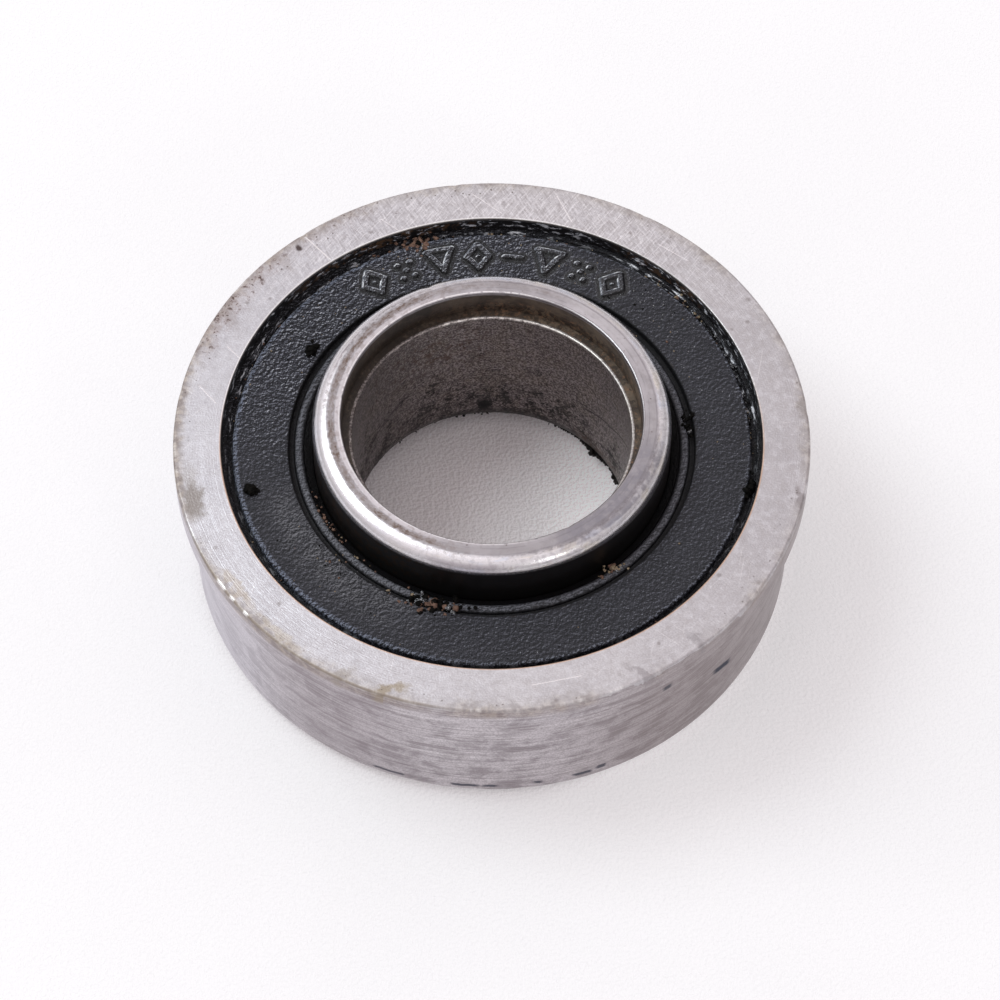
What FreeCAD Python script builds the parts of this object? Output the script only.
import FreeCAD, Part
import math
import os

# A sealed, single-row, deep-groove ball bearing with a flanged outer ring and
# an inner ring that runs on past the flange. Millimetres. The bearing axis is
# +Z. The origin is on the axis, in the plane of the back faces of both rings.
# The flange is at the front, towards +Z. Profiles are drawn as (r, z).

# ---------------------------------------------------------------- shared
OUTER_WIDTH = 11.00         # outer ring, back face to flange face
MID_Z = OUTER_WIDTH / 2     # plane of the ball centres
FIT = 0.010                 # line-to-line pieces are kept this far apart

# ---------------------------------------------------------------- rolling parts
BALL_COUNT = 8
BALL_R = 5.953 / 2
PITCH_R = 12.65
BALL_PLAY = 0.010           # radial play between a ball and each raceway
RACE_R = 3.08               # radius of the raceway grooves

# ---------------------------------------------------------------- outer ring
OUTER_R = 17.50             # ground outside surface
OUTER_ROUND = 1.05          # rounded outside corner at the back
FLANGE_R = 18.27
FLANGE_THICK = 1.90
FLANGE_EDGE = 0.18          # rounding on both corners of the flange
RELIEF_DEPTH = 0.20         # grinding relief at the root of the flange
RELIEF_WIDTH = 0.30
RELIEF_SLOPE = 0.08         # axial run of the relief's sloping back wall
RELIEF_RISE = 0.06          # how far the relief cuts into the flange itself
RELIEF_LIP = 0.06           # and how far past the outside surface
FACE_INNER_R = 15.52        # inside edge of the end faces
FACE_INNER_EDGE = 0.08
OUTER_SHOULDER_R = 14.45
OUTER_SHOULDER_EDGE = 0.25
BEAD_GROOVE_SLOPE = 0.10    # axial run of the groove wall nearer the end face

# ---------------------------------------------------------------- inner ring
BORE_R = 8.00
BORE_MOUTH_R = 2.30         # rounding of the back mouth of the bore
BORE_MOUTH_TURN = 45.0      # degrees it turns before a 45 degree chamfer
INNER_WIDTH = 13.00         # back face to nose face
NOSE_R = 10.27              # outside radius of the nose and both seal lands
NOSE_ROUND = 0.95           # rounded outside corner at the front
NOSE_BACK_ROUND = 0.35      # rounded outside corner at the back
COUNTERBORE_R = 8.60        # shallow counterbore in the nose
COUNTERBORE_DEPTH = 1.72
COUNTERBORE_EDGE = 0.12
BORE_STEP_EDGE = 0.12       # chamfer where the counterbore meets the bore
INNER_SHOULDER_R = 10.85
INNER_SHOULDER_EDGE = 0.12
SHOULDER_HALF = 3.25        # half width of the pair of shoulders
SHOULDER_SLOPE = 0.25       # axial run from a shoulder down to the seal land

# ---------------------------------------------------------------- cage
CAGE_THICK = 0.50
CAGE_IN_R = 11.55
CAGE_OUT_R = 13.75
POCKET_R = BALL_R + 0.08
RIVET_R = 0.50
RIVET_HOLE_PLAY = 0.010
RIVET_HEAD_R = 0.88
RIVET_HEAD_HIGH = 0.38

# ---------------------------------------------------------------- seals
# Heights of the front seal, which sits just inside the flange face.
SEAL_FACE_Z = OUTER_WIDTH - 0.72
SEAL_BACK_Z = OUTER_WIDTH - 1.56
SEAL_FACE_OUT_R = 14.90
SEAL_FACE_IN_R = 11.68
SEAL_FACE_ROUND = 0.14      # rounding of both edges of the face

# Moulded grooves on each side of the flat face
SEAL_GROOVE_OUT_R = 15.24   # outer edge of the outer groove
OUTER_GROOVE_Z = SEAL_FACE_Z - 0.42
INNER_GROOVE_Z = OUTER_GROOVE_Z + 0.02
GROOVE_TAPER = 0.03         # radial lean of the groove walls
GROOVE_FOOT = 0.08          # height of the slope at the foot of a face wall

# Bead, held in the outer ring's groove
BEAD_R = 15.78
BEAD_TOP_DEPTH = 0.95       # middle of the gap above the bead, below the end face
BEAD_TOP_GAP = 0.05         # bead and ring groove each stand this far from it
BEAD_BOTTOM_DEPTH = 1.80
BEAD_TOP_Z = OUTER_WIDTH - BEAD_TOP_DEPTH - BEAD_TOP_GAP
BEAD_BOTTOM_Z = OUTER_WIDTH - BEAD_BOTTOM_DEPTH
BEAD_TOP_EDGE = (0.08, 0.07)        # outer top chamfer: radial, axial
BEAD_ROOT_EDGE = (0.10, 0.08)       # slope down to the outer groove: radial, axial
BEAD_BOTTOM_EDGE = 0.10
BEAD_SLOPE = (0.10, 0.22)           # slope from the seal back to the bead's
                                    # bottom: radii past the face's outer edge

# Wiping lip
LIP_OUT_R = 11.38
LIP_IN_R = 10.78
LIP_CROWN_Z = SEAL_FACE_Z - 0.14
LIP_TIP_R = NOSE_R + 0.03   # the tip clears the seal land
LIP_TIP_OUTLINE = [         # radius, height above the seal back
    (LIP_IN_R, 0.55),
    (LIP_TIP_R + 0.06, 0.22),
    (LIP_TIP_R, 0.14),
    (LIP_TIP_R, -0.02),
    (LIP_TIP_R + 0.12, -0.10),
    (LIP_IN_R + 0.30, 0.05),
    (LIP_IN_R + 0.55, 0),
]

# Steel insert
INSERT_IN_R = 11.95
INSERT_OUT_R = 14.80
INSERT_THICK = 0.35


# ---------------------------------------------------------------- helpers
def arc(centre, radius, start, end):
    """Arc in the r-z plane about centre (r, z), between two angles in degrees."""
    def at(degrees):
        angle = math.radians(degrees)
        return FreeCAD.Vector(centre[0] + radius * math.cos(angle), 0,
                              centre[1] + radius * math.sin(angle))

    return Part.Arc(at(start), at((start + end) / 2), at(end)).toShape()


def ends(item):
    """First and last point of a profile item: a corner (r, z) or an arc."""
    if isinstance(item, tuple):
        point = FreeCAD.Vector(item[0], 0, item[1])
        return point, point
    return item.Vertexes[0].Point, item.Vertexes[-1].Point


def revolve(items):
    """Solid of revolution of a closed profile of corners and arcs."""
    edges = []
    previous = ends(items[-1])[1]
    for item in items:
        first, last = ends(item)
        if previous.distanceToPoint(first) > 1e-6:
            edges.append(Part.makeLine(previous, first))
        if not isinstance(item, tuple):
            edges.append(item)
        previous = last
    face = Part.Face(Part.Wire(Part.__sortEdges__(edges)))
    solid = face.revolve(FreeCAD.Vector(0, 0, 0), FreeCAD.Vector(0, 0, 1), 360)
    # The direction of the profile can turn the solid inside out.
    if solid.Volume < 0:
        solid.reverse()
    return solid


def tube(inner_r, outer_r, bottom, top):
    body = Part.makeCylinder(outer_r, top - bottom, FreeCAD.Vector(0, 0, bottom))
    hole = Part.makeCylinder(inner_r, top - bottom + 2, FreeCAD.Vector(0, 0, bottom - 1))
    return body.cut(hole)


def mirrored(points):
    """The same corners across the ball plane, in reverse order."""
    return [(r, 2 * MID_Z - z) for r, z in reversed(points)]


def flip(shape):
    """The same piece on the other side of the ball plane."""
    turned = shape.copy()
    turned.rotate(FreeCAD.Vector(0, 0, MID_Z), FreeCAD.Vector(1, 0, 0), 180)
    return turned


def pitch_point(step):
    """Point on the pitch circle; whole steps are balls, half steps are rivets."""
    angle = 2 * math.pi * step / BALL_COUNT
    return FreeCAD.Vector(PITCH_R * math.cos(angle), PITCH_R * math.sin(angle), MID_Z)


def save(name, shape):
    solids = shape.Solids
    piece = solids[0] if len(solids) == 1 else Part.makeCompound(solids)
    piece.exportStep(os.path.join("parts", name + ".step"))


# ---------------------------------------------------------------- rings
def raceway(side, shoulder_r):
    """Groove arc between two shoulders; side is 1 on the outer ring, -1 on the inner."""
    centre_r = PITCH_R + side * (BALL_R + BALL_PLAY - RACE_R)
    half_turn = math.degrees(math.acos(side * (shoulder_r - centre_r) / RACE_R))
    facing = 0 if side > 0 else 180
    return arc((centre_r, MID_Z), RACE_R, facing + half_turn, facing - half_turn)


def outer_ring():
    top = OUTER_WIDTH
    under = top - FLANGE_THICK
    relief_r = OUTER_R - RELIEF_DEPTH
    lip_r = OUTER_R + RELIEF_LIP
    flange_arc_r = FLANGE_R - FLANGE_EDGE
    groove_r = BEAD_R + FIT
    groove_top = top - BEAD_TOP_DEPTH + BEAD_TOP_GAP
    groove_bottom = BEAD_BOTTOM_Z - FIT
    # Inside of the ring from the front face in to the shoulder
    front_inside = [
        (FACE_INNER_R + FACE_INNER_EDGE, top),
        (FACE_INNER_R, top - FACE_INNER_EDGE),
        (FACE_INNER_R, groove_top),
        (groove_r, groove_top - BEAD_GROOVE_SLOPE),
        (groove_r, groove_bottom),
        (OUTER_SHOULDER_R + OUTER_SHOULDER_EDGE, groove_bottom),
        (OUTER_SHOULDER_R, groove_bottom - OUTER_SHOULDER_EDGE),
    ]
    return revolve([
        arc((OUTER_R - OUTER_ROUND, OUTER_ROUND), OUTER_ROUND, -90, 0),
        (OUTER_R, under - RELIEF_WIDTH),
        (relief_r, under - RELIEF_WIDTH + RELIEF_SLOPE),
        (relief_r, under + RELIEF_RISE),
        (lip_r, under + RELIEF_RISE),
        (lip_r, under),
        arc((flange_arc_r, under + FLANGE_EDGE), FLANGE_EDGE, -90, 0),
        arc((flange_arc_r, top - FLANGE_EDGE), FLANGE_EDGE, 0, 90),
        *front_inside,
        raceway(1, OUTER_SHOULDER_R),
        *mirrored(front_inside),
    ])


def inner_ring():
    step_z = INNER_WIDTH - COUNTERBORE_DEPTH
    turn = math.radians(BORE_MOUTH_TURN)
    chamfer = BORE_MOUTH_R * (1 - math.sin(turn))
    chamfer_r = BORE_R + BORE_MOUTH_R * (1 - math.cos(turn))
    shoulder_z = MID_Z - SHOULDER_HALF
    back_shoulder = [
        (NOSE_R, shoulder_z - SHOULDER_SLOPE),
        (INNER_SHOULDER_R - INNER_SHOULDER_EDGE, shoulder_z),
        (INNER_SHOULDER_R, shoulder_z + INNER_SHOULDER_EDGE),
    ]
    return revolve([
        arc((BORE_R + BORE_MOUTH_R, BORE_MOUTH_R), BORE_MOUTH_R, 180, 180 + BORE_MOUTH_TURN),
        (chamfer_r + chamfer, 0),
        arc((NOSE_R - NOSE_BACK_ROUND, NOSE_BACK_ROUND), NOSE_BACK_ROUND, -90, 0),
        *back_shoulder,
        raceway(-1, INNER_SHOULDER_R),
        *mirrored(back_shoulder),
        arc((NOSE_R - NOSE_ROUND, INNER_WIDTH - NOSE_ROUND), NOSE_ROUND, 0, 90),
        (COUNTERBORE_R + COUNTERBORE_EDGE, INNER_WIDTH),
        (COUNTERBORE_R, INNER_WIDTH - COUNTERBORE_EDGE),
        (COUNTERBORE_R, step_z),
        (BORE_R + BORE_STEP_EDGE, step_z),
        (BORE_R, step_z - BORE_STEP_EDGE),
    ])


# ---------------------------------------------------------------- seals
def seal_rubber():
    """Front seal rubber, with a pocket for the insert open towards the balls."""
    insert_top = SEAL_BACK_Z + INSERT_THICK + FIT
    face_arc_z = SEAL_FACE_Z - SEAL_FACE_ROUND
    lip_mid_r = (LIP_OUT_R + LIP_IN_R) / 2
    lip_round = (LIP_OUT_R - LIP_IN_R) / 2
    return revolve([
        # top of the bead
        (BEAD_R, BEAD_TOP_Z - BEAD_TOP_EDGE[1]),
        (BEAD_R - BEAD_TOP_EDGE[0], BEAD_TOP_Z),
        (SEAL_GROOVE_OUT_R + BEAD_ROOT_EDGE[0], BEAD_TOP_Z),
        (SEAL_GROOVE_OUT_R, BEAD_TOP_Z - BEAD_ROOT_EDGE[1]),
        # outer moulded groove
        (SEAL_GROOVE_OUT_R - GROOVE_TAPER, OUTER_GROOVE_Z),
        (SEAL_FACE_OUT_R + GROOVE_TAPER, OUTER_GROOVE_Z),
        (SEAL_FACE_OUT_R, OUTER_GROOVE_Z + GROOVE_FOOT),
        # flat face with rounded edges
        arc((SEAL_FACE_OUT_R - SEAL_FACE_ROUND, face_arc_z), SEAL_FACE_ROUND, 0, 90),
        arc((SEAL_FACE_IN_R + SEAL_FACE_ROUND, face_arc_z), SEAL_FACE_ROUND, 90, 180),
        # inner moulded groove
        (SEAL_FACE_IN_R, INNER_GROOVE_Z + GROOVE_FOOT),
        (SEAL_FACE_IN_R - GROOVE_TAPER, INNER_GROOVE_Z),
        (LIP_OUT_R + GROOVE_TAPER, INNER_GROOVE_Z),
        # rounded crown of the lip, then its tip
        arc((lip_mid_r, LIP_CROWN_Z - lip_round), lip_round, 0, 180),
        *[(r, SEAL_BACK_Z + height) for r, height in LIP_TIP_OUTLINE],
        # pocket for the insert
        (INSERT_IN_R - FIT, SEAL_BACK_Z),
        (INSERT_IN_R - FIT, insert_top),
        (INSERT_OUT_R + FIT, insert_top),
        (INSERT_OUT_R + FIT, SEAL_BACK_Z),
        # bottom of the bead
        (SEAL_FACE_OUT_R + BEAD_SLOPE[0], SEAL_BACK_Z),
        (SEAL_FACE_OUT_R + BEAD_SLOPE[1], BEAD_BOTTOM_Z),
        (BEAD_R - BEAD_BOTTOM_EDGE, BEAD_BOTTOM_Z),
        (BEAD_R, BEAD_BOTTOM_Z + BEAD_BOTTOM_EDGE),
    ])


def seal_insert():
    return tube(INSERT_IN_R, INSERT_OUT_R, SEAL_BACK_Z, SEAL_BACK_Z + INSERT_THICK)


# ---------------------------------------------------------------- cage
def cage_half():
    """Front ribbon of the cage: flat bridges and part-spherical pockets."""
    shell_r = POCKET_R + CAGE_THICK
    bottom = MID_Z + FIT / 2
    bridge = tube(CAGE_IN_R, CAGE_OUT_R, bottom, MID_Z + CAGE_THICK)
    band = tube(CAGE_IN_R, CAGE_OUT_R, bottom, MID_Z + shell_r + 1)
    shells = Part.makeSphere(shell_r, pitch_point(0))
    for i in range(1, BALL_COUNT):
        shells = shells.fuse(Part.makeSphere(shell_r, pitch_point(i)))
    body = bridge.fuse(shells.common(band))
    for i in range(BALL_COUNT):
        body = body.cut(Part.makeSphere(POCKET_R, pitch_point(i)))
    for i in range(BALL_COUNT):
        base = pitch_point(i + 0.5) - FreeCAD.Vector(0, 0, 2)
        body = body.cut(Part.makeCylinder(RIVET_R + RIVET_HOLE_PLAY, 4, base))
    return body.removeSplitter()


def rivet(i):
    """Rivet through both cage halves, with a domed head at each end."""
    seat = CAGE_THICK + FIT
    dome_r = (RIVET_HEAD_R ** 2 + RIVET_HEAD_HIGH ** 2) / (2 * RIVET_HEAD_HIGH)
    dome_z = seat + RIVET_HEAD_HIGH - dome_r
    turn = math.degrees(math.acos((dome_r - RIVET_HEAD_HIGH) / dome_r))
    body = revolve([
        arc((0, -dome_z), dome_r, -90, -90 + turn),
        (RIVET_R, -seat),
        (RIVET_R, seat),
        arc((0, dome_z), dome_r, 90 - turn, 90),
    ])
    body.translate(pitch_point(i + 0.5))
    return body


def main():
    os.makedirs("parts", exist_ok=True)
    save("outer_ring", outer_ring())
    save("inner_ring", inner_ring())
    for name, piece in (("seal_rubber", seal_rubber()), ("seal_insert", seal_insert())):
        save("front_" + name, piece)
        save("back_" + name, flip(piece))
    for i in range(BALL_COUNT):
        save(f"ball_{i + 1}", Part.makeSphere(BALL_R, pitch_point(i)))
    front_half = cage_half()
    save("cage_front_half", front_half)
    save("cage_back_half", flip(front_half))
    save("cage_rivets", Part.makeCompound([rivet(i) for i in range(BALL_COUNT)]))


main()
